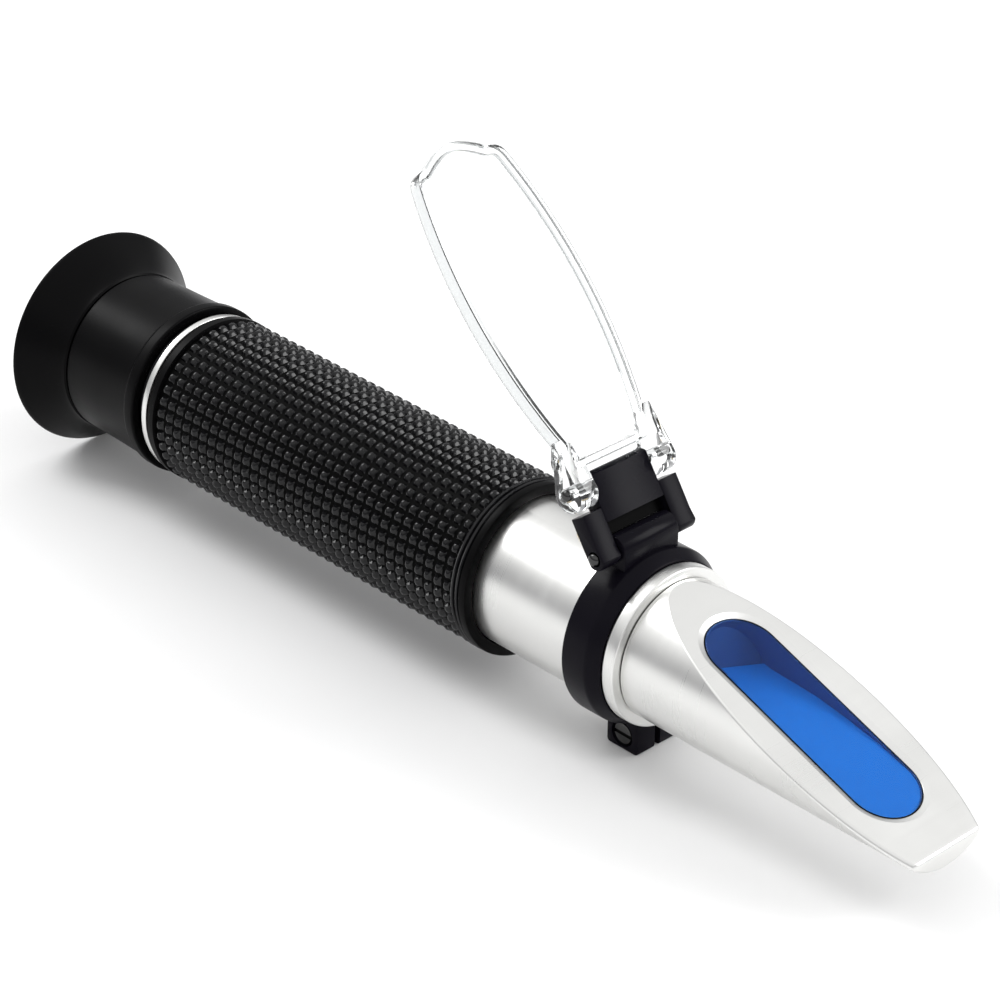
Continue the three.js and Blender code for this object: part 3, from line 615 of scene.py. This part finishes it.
def make_eyepiece():
    sleeve = [(-80.4, BARREL_R + 0.25), (-80.4, 14.95), (-82.5, 14.95), (-82.9, 14.5), (-90, 14.28),
              (-98.9, 14.12), (-99.2, 13.9), (-99.2, 8), (-98.3, 8), (-98.3, BARREL_R + 0.25)]
    shown(lathe("eyecup_sleeve_skin", softened(sleeve, 0.4), LOOK["black_rubber"]), "eyepiece",
          "black_rubber", "eyecup_sleeve")
    outside = flare(-99.75, 7.35, 14.25, 4.6, 1.3)
    inside = flare(-99.6, 8.0, 11.6, 5.9, 1.35)
    lip = [outside[-1], (-107.6, 19.02), (-108, 18.7), (-108, 17.9), inside[-1]]
    profile = ([(-99.5, 11.62), (-99.5, 13.95)] + outside[:-1] + softened(lip, 0.35, False)
               + inside[::-1][1:])
    shown(lathe("eyecup_flare", profile, LOOK["black_rubber"]), "eyepiece", "black_rubber",
          "rubber_eyecup")
    barrel = [(BARREL_FRONT, 9.5), (BARREL_FRONT, BARREL_R), (BARREL_REAR, BARREL_R),
              (BARREL_REAR, 6.6), (BARREL_REAR + 1.5, 6.6), (BARREL_REAR + 1.5, 9.5)]
    shown(lathe("eyepiece_tube", softened(barrel, 0.25), LOOK["black_aluminium"]), "eyepiece",
          "black_aluminium", "eyepiece_barrel")
    radii = [0, 1.2, 2.4, 3.6, 4.8, 5.6, 6.2]
    bulges = [(LENS_HALF_EDGE + LENS_BULGE * (1 - (r / LENS_R) ** 2), r) for r in radii]
    faces = [(LENS_X - x, r) for x, r in bulges] + [(LENS_X + x, r) for x, r in reversed(bulges)]
    shown(lathe("eye_lens_glass", faces, LOOK["optical_glass"], 64, 60), "ocular", "optical_glass",
          "eye_lens")


# ---- collar, link and plate ----
LOWER_PIN = in_axis_frame(JOINTS["link_hinge"]["pos_m"])
UPPER_PIN = in_axis_frame(JOINTS["plate_hinge"]["pos_m"])
COLLAR_REAR = 21
COLLAR_FRONT = 27.9
COLLAR_R = 14.35
KNUCKLE_R = 2.3
KNUCKLE_HALF_WIDTH = 5.7
KNUCKLE_BORE = 1.25
FOOT_REAR = 21.2
FOOT_FRONT = 27.7
FOOT_BOTTOM = -19
FOOT_TOP = -13.1        # inside the ring's wall
FOOT_HALF_WIDTH = 4.4
SLOT_HALF_WIDTH = 0.6   # the split through the collar's foot
CLAMP_X = 24.45
CLAMP_Z = -16.3
CLAMP_HEAD_R = 1.8
CLAMP_SHANK_R = 1.2
CLAMP_BORE = 1.5
CLAMP_NUT_R = 1.9
CLAMP_RECESS_R = 2.2


def clamp_bar(name, radius, y_low, y_high, material=None, edge=0.12, segments=SMALL_ROUND):
    return bar(name, CLAMP_X, CLAMP_Z, radius, y_low, y_high, material, edge, segments)


def make_collar():
    profile = [(COLLAR_REAR, TUBE_CLEAR_R), (COLLAR_REAR, COLLAR_R), (25.9, COLLAR_R),
               (COLLAR_FRONT, 13.15), (COLLAR_FRONT, TUBE_CLEAR_R)]
    collar = lathe("collar", softened(profile, 0.35), LOOK["black_plastic"])
    x, z = LOWER_PIN.x, LOWER_PIN.z
    knuckle = [(x + KNUCKLE_R, 12.9)] + arc((x, z), KNUCKLE_R, 0, 180, 16) + [(x - KNUCKLE_R, 12.9)]
    foot = [(FOOT_REAR, FOOT_TOP), (FOOT_REAR, FOOT_BOTTOM),
            (FOOT_FRONT, FOOT_BOTTOM), (FOOT_FRONT, FOOT_TOP)]
    boolean(collar, "UNION",
            slab("knuckle", knuckle, -KNUCKLE_HALF_WIDTH, KNUCKLE_HALF_WIDTH, None),
            slab("foot", softened(foot, 0.7, steps=3), -FOOT_HALF_WIDTH, FOOT_HALF_WIDTH,
                 None, 0.3))
    boolean(collar, "DIFFERENCE",
            bore(LOWER_PIN, KNUCKLE_BORE),
            block("slot", (COLLAR_REAR - 1, -SLOT_HALF_WIDTH, -20),
                  (29, SLOT_HALF_WIDTH, -TUBE_R + 2)),
            clamp_bar("screw_bore", CLAMP_BORE, -THROUGH, THROUGH),
            clamp_bar("screw_recess", CLAMP_RECESS_R, -THROUGH, -FOOT_HALF_WIDTH + 1.5),
            clamp_bar("nut_recess", CLAMP_RECESS_R, FOOT_HALF_WIDTH - 1.7, THROUGH, segments=6))
    shown(collar, "instrument", "black_plastic", "hinge_collar")

    head_face = -FOOT_HALF_WIDTH + 0.1
    screw = clamp_bar("clamp_screw_steel", CLAMP_HEAD_R, head_face, head_face + 1.1,
                      BLACK_STEEL, 0.2)
    boolean(screw, "UNION",
            clamp_bar("shank", CLAMP_SHANK_R, head_face + 0.5, FOOT_HALF_WIDTH - 0.1))
    boolean(screw, "DIFFERENCE",
            block("groove", (CLAMP_X - 3, head_face - 1, CLAMP_Z - 0.3),
                  (CLAMP_X + 3, head_face + 0.5, CLAMP_Z + 0.3)))
    shown(screw, "instrument", "steel", "clamp_screw")
    nut = clamp_bar("clamp_nut_steel", CLAMP_NUT_R, FOOT_HALF_WIDTH - 1.4, FOOT_HALF_WIDTH - 0.15,
                    LOOK["steel"], 0.15, 6)
    boolean(nut, "DIFFERENCE", clamp_bar("nut_bore", CLAMP_SHANK_R + 0.15, 0, THROUGH))
    shown(nut, "instrument", "steel", "clamp_nut")


def hinge_frame(pin, toward):
    """Places points, given along a direction from the pin and behind it, in x and z."""
    direction = Vector(toward).normalized()

    def place(along, behind):
        return (pin.x + direction.x * along - direction.y * behind,
                pin.z + direction.y * along + direction.x * behind)
    return place


# the link's own frame: along runs from the lower pin to the upper one, behind is across it
LINK_FRONT = -1.4
LINK_REAR = 1.65
LINK_END_R = 1.9
CHEEK_INNER = 6.05      # the two cheeks stand beside the collar's knuckle
CHEEK_OUTER = 9.8
CHEEK_LAP = 0.15        # how far they run into the tongue
CHEEK_REACH = 6.6
TONGUE_START = 4.3      # the tongue goes up between the plate's ears
WEB_START = 1           # the web joins the cheeks, set back from their front
WEB_REACH = 4.6
WEB_FRONT = 0.2
WEB_REAR = 1.55
WEB_ROOM_R = 2.4        # room around the knuckle
LOWER_BORE = 1.2
UPPER_BORE = 1.1
PIN_DOME = 0.7          # how far a pin's rounded end stands out


def make_link():
    reach = UPPER_PIN - LOWER_PIN
    length = math.hypot(reach.x, reach.z)
    place = hinge_frame(LOWER_PIN, (reach.x, reach.z))

    def outline(points):
        return [place(*point) for point in points]

    round_high = arc((length, 0), LINK_END_R, -48, 60, 12)
    tongue = [(TONGUE_START, LINK_REAR), (TONGUE_START, LINK_FRONT), (length, LINK_FRONT)]
    tongue += round_high + [(length, LINK_REAR)]
    link = slab("link", outline(tongue), -CHEEK_INNER, CHEEK_INNER, LOOK["black_plastic"], 0.28)
    round_low = arc((0, 0), LINK_END_R, 118, 242, 12)
    cheek = round_low + [(0.9, LINK_FRONT), (CHEEK_REACH, LINK_FRONT), (CHEEK_REACH, LINK_REAR),
                         (0.9, LINK_REAR)]
    inner = CHEEK_INNER - CHEEK_LAP
    cheeks = [slab("cheek", outline(cheek), low, high, None, 0.3)
              for low, high in [(-CHEEK_OUTER, -inner), (inner, CHEEK_OUTER)]]
    boolean(link, "UNION", *cheeks)
    web_outline = [(WEB_START, WEB_FRONT), (WEB_REACH, WEB_FRONT), (WEB_REACH, WEB_REAR),
                   (WEB_START, WEB_REAR)]
    web = slab("web", outline(web_outline), -CHEEK_INNER - 0.2, CHEEK_INNER + 0.2, None, 0.1)
    room = bar("room", LOWER_PIN.x, LOWER_PIN.z, WEB_ROOM_R, -10, 10, None, 0.01, 64)
    boolean(link, "UNION", boolean(web, "DIFFERENCE", room))

    direction = Vector((reach.x, reach.z)).normalized()
    across = Vector((-direction.y, direction.x))

    # The faces in the recess under the tongue take painted shade: a darker, duller black than the
    # link's plastic.
    def in_painted_shade(face):
        offset = Vector((face.center.x - LOWER_PIN.x, face.center.z - LOWER_PIN.z))
        return (1.8 < offset.dot(direction) < TONGUE_START + 0.05
                and offset.dot(across) < WEB_REAR - 0.1 and abs(face.center.y) < inner + 0.1)
    two_tone(link, LOOK["black_plastic"], PAINTED_SHADE_BLACK, in_painted_shade)
    boolean(link, "DIFFERENCE", bore(LOWER_PIN, LOWER_BORE), bore(UPPER_PIN, UPPER_BORE))
    shown(link, "link", "black_plastic", "hinge_link")

    make_hinge_pin("lower_pin", "link", LOWER_PIN, 1.0, 9.8)
    make_hinge_pin("upper_pin", "plate", UPPER_PIN, 0.9, 10.05)


def make_hinge_pin(name, body, pin, radius, half):
    """A steel pin across the hinge, domed at its -y end and lightly chamfered at the other."""
    dome = [(-half - 0.05 - PIN_DOME * math.cos(t), radius * math.sin(t)) for t in quarter_turn(12)]
    profile = dome + [(half - 0.1, radius), (half, radius - 0.1), (half, 0)]
    steel = lathe(name, profile, BLACK_STEEL, SMALL_ROUND, 50)
    across = Matrix.Rotation(math.pi / 2, 4, "Z")
    steel.data.transform(Matrix.Translation((pin.x, 0, pin.z)) @ across)
    shown(steel, body, "steel", name.replace("pin", "hinge_pin"))


PLATE_BASE = 2.7        # the plate's outline, along it from the upper pin
PLATE_WIDEST = 29.5
PLATE_END = 52.4
PLATE_HALF_WIDTH = 11.5
PLATE_SIDE_R = 88
PLATE_CORNER = 2.2
PLATE_DEPTH = 3.0
PANEL_TOP = -1.5        # the sunk panel's face, below the rim's
RIM_WIDTH = 1.25
TAB_HALF_WIDTH = 6.2
TAB_HEIGHT = 2.45
EAR_R = 3
EAR_INNER = 6.25
EAR_OUTER = 10.05
PLATE_ANGLE = math.radians(134)


def plate_outline():
    """Barrel-shaped sides, and a free end with rounded corners and an arched finger tab."""
    def side(s):
        sagitta = PLATE_SIDE_R - math.sqrt(PLATE_SIDE_R ** 2 - (s - PLATE_WIDEST) ** 2)
        return PLATE_HALF_WIDTH - sagitta
    straight = PLATE_END - PLATE_CORNER - PLATE_BASE
    lower = [(s, -side(s)) for s in [PLATE_BASE + straight * i / 24 for i in range(25)]]
    end_width = side(PLATE_END)
    start, tip = Vector(lower[-1]), Vector((PLATE_END, -end_width))
    finish = Vector((PLATE_END, -end_width + PLATE_CORNER))
    for i in range(1, 7):
        t = i / 6
        lower.append(tuple(start.lerp(tip, t).lerp(tip.lerp(finish, t), t)))
    tab = [(PLATE_END + TAB_HEIGHT * math.cos(math.pi * t / 2), TAB_HALF_WIDTH * t)
           for t in [i / 12 - 1 for i in range(25)]]
    upper = [(s, -w) for s, w in reversed(lower)]
    return lower + tab + upper


def make_plate():
    along = Vector((math.cos(PLATE_ANGLE), 0, math.sin(PLATE_ANGLE)))
    behind = Vector((-math.sin(PLATE_ANGLE), 0, math.cos(PLATE_ANGLE)))
    outline = plate_outline()

    def level(inset, depth):
        return [tuple(UPPER_PIN + along * s + Vector((0, w, 0)) + behind * depth)
                for s, w in inset_loop(outline, inset)]

    # up the outside, over the rounded rim and down to the sunk panel, as (inset, depth)
    levels = [(0.45, -PLATE_DEPTH), (0.12, -PLATE_DEPTH + 0.12), (0, -PLATE_DEPTH + 0.45),
              (0, -0.5), (0.15, -0.15), (0.5, 0),
              (RIM_WIDTH - 0.4, 0), (RIM_WIDTH - 0.1, -0.12), (RIM_WIDTH, -0.45),
              (RIM_WIDTH + 0.02, PANEL_TOP + 0.25), (RIM_WIDTH + 0.3, PANEL_TOP)]
    plate = stack("plate", [level(*item) for item in levels], LOOK["clear_plastic"], 40)
    # the rim's side walls take the frosted acrylic with its grey painted shade
    two_tone(plate, LOOK["clear_plastic"], SHADED_RIM_ACRYLIC,
             lambda face: abs(face.normal.dot(behind)) < 0.8)
    place = hinge_frame(UPPER_PIN, (along.x, along.z))
    ear = arc((0, 0), EAR_R, 80, 250, 18)
    ear += [(2.4, -PLATE_DEPTH + 0.05), (7.4, -PLATE_DEPTH + 0.05), (7.6, -2.2), (5.4, -0.1),
            (3.2, 0.9)]
    ears = [slab("ear", [place(*point) for point in ear], low, high, None, 0.4)
            for low, high in [(-EAR_OUTER, -EAR_INNER), (EAR_INNER, EAR_OUTER)]]
    boolean(plate, "UNION", *ears)
    boolean(plate, "DIFFERENCE", bore(UPPER_PIN, UPPER_BORE), sharp_angle=40)
    shown(plate, "plate", "clear_plastic", "daylight_plate")


GRUB_R = 1.4
GRUB_TOP = TUBE_R + 0.6
GRUB_SLOT_HALF = 0.3
GRUB_SLOT_DEPTH = 0.7


def make_calibration():
    outline = [(9, 0), (9, GRUB_R), (GRUB_TOP, GRUB_R), (GRUB_TOP, 0)]
    screw = lathe("calibration_grub", softened(outline, 0.15, False), LOOK["brass"], SMALL_ROUND)
    slot = block("slot", (CALIBRATION_X - 3, -GRUB_SLOT_HALF, GRUB_TOP - GRUB_SLOT_DEPTH),
                 (CALIBRATION_X + 3, GRUB_SLOT_HALF, GRUB_TOP + 1))
    boolean(upright(screw, CALIBRATION_X), "DIFFERENCE", slot)
    shown(screw, "calibration", "brass", "calibration_screw")
    bush = [(9.7, 1.6), (9.7, 2.1), (12.6, 2.1), (12.6, 2.5), (13.2, 2.5), (13.2, 1.6)]
    flange = lathe("calibration_collar", softened(bush, 0.12), LOOK["brass"], SMALL_ROUND)
    shown(upright(flange, CALIBRATION_X), "instrument", "brass", "calibration_bush")


def dress_cad_nodes():
    """CAD nodes that stay in sight, or can be seen at some pose, get their finish."""
    slots = {part["node"]: part["material_slot"] for part in frame["record"]["subparts"]}
    for name, node in frame["nodes"].items():
        for material_slot in node.material_slots:
            material_slot.material = LOOK[slots[name]]


# ---- floor, light and camera, in the row frame's metres ----
FLOOR_HALF = 40         # wide enough that its edge stays below the horizon in low views
LIGHTS = [  # name, place, width, depth, power
    ("key", (0.72, 0.74, 0.62), 0.6, 0.6, 7),
    ("strip", (-0.74, -0.2, 0.85), 0.34, 0.7, 5.5),
]


def make_floor():
    maker = bmesh.new()
    maker.faces.new([maker.verts.new((x * FLOOR_HALF, y * FLOOR_HALF, 0))
                     for x, y in [(-1, -1), (1, -1), (1, 1), (-1, 1)]])
    mesh = bpy.data.meshes.new("floor")
    maker.to_mesh(mesh)
    maker.free()
    floor = bpy.data.objects.new("floor", mesh)
    bpy.context.collection.objects.link(floor)
    material, tree, principled = shader("floor_paper", Roughness=0.75)
    tone = blend_colours(tree, noise(tree, 14, detail=4.0), (0.86, 0.86, 0.86), (0.9, 0.9, 0.9))
    tree.links.new(tone, principled.inputs["Base Color"])
    mesh.materials.append(material)


def make_world():
    """A soft dome, pale overhead and darker towards the horizon, which the metal mirrors."""
    world = bpy.data.worlds.new("studio")
    bpy.context.scene.world = world
    world.use_nodes = True
    tree = world.node_tree
    direction = add_node(tree, "ShaderNodeTexCoord").outputs["Generated"]
    height = add_node(tree, "ShaderNodeSeparateXYZ", {"Vector": direction}).outputs["Z"]
    ramp = add_node(tree, "ShaderNodeValToRGB", {"Fac": height})
    ramp.color_ramp.interpolation = "EASE"
    stops = ramp.color_ramp.elements
    stops[0].position, stops[0].color = 0.12, (0.34, 0.34, 0.35, 1)
    stops[1].position, stops[1].color = 0.6, (0.95, 0.95, 0.95, 1)
    tree.links.new(ramp.outputs["Color"], tree.nodes["Background"].inputs["Color"])
    tree.nodes["Background"].inputs["Strength"].default_value = 1.05


def make_lights():
    for name, place, width, depth, power in LIGHTS:
        lamp = bpy.data.lights.new(name, "AREA")
        lamp.shape = "RECTANGLE"
        lamp.size, lamp.size_y = width, depth
        lamp.energy = power
        light = bpy.data.objects.new(name, lamp)
        light.location = place
        light.rotation_euler = (-Vector(place)).to_track_quat("-Z", "Y").to_euler()
        bpy.context.collection.objects.link(light)


CAMERA_OFFSET = Vector((338.0, -323.7, 269.5)) * MM    # from the point it looks at
CAMERA_AIM = (-7.4, 0.1, 9.4)                          # in the axis frame's millimetres
CAMERA_ROLL = 0.47                                     # degrees
CAMERA_LENS = 125.9


def make_camera():
    data = bpy.data.cameras.new("camera")
    data.lens = CAMERA_LENS
    data.sensor_width = 36
    camera = bpy.data.objects.new("camera", data)
    camera.location = axis_point(*CAMERA_AIM) + CAMERA_OFFSET
    level = (-CAMERA_OFFSET).to_track_quat("-Z", "Y").to_matrix().to_4x4()
    camera.rotation_euler = (level @ Matrix.Rotation(math.radians(CAMERA_ROLL), 4, "Z")).to_euler()
    bpy.context.collection.objects.link(camera)
    bpy.context.scene.camera = camera


make_camera()
make_floor()
make_world()
make_lights()
dress_cad_nodes()
make_tube()
make_grip()
make_housing()
make_prism()
make_eyepiece()
make_collar()
make_link()
make_plate()
make_calibration()
bpy.context.scene.view_settings.view_transform = "Standard"
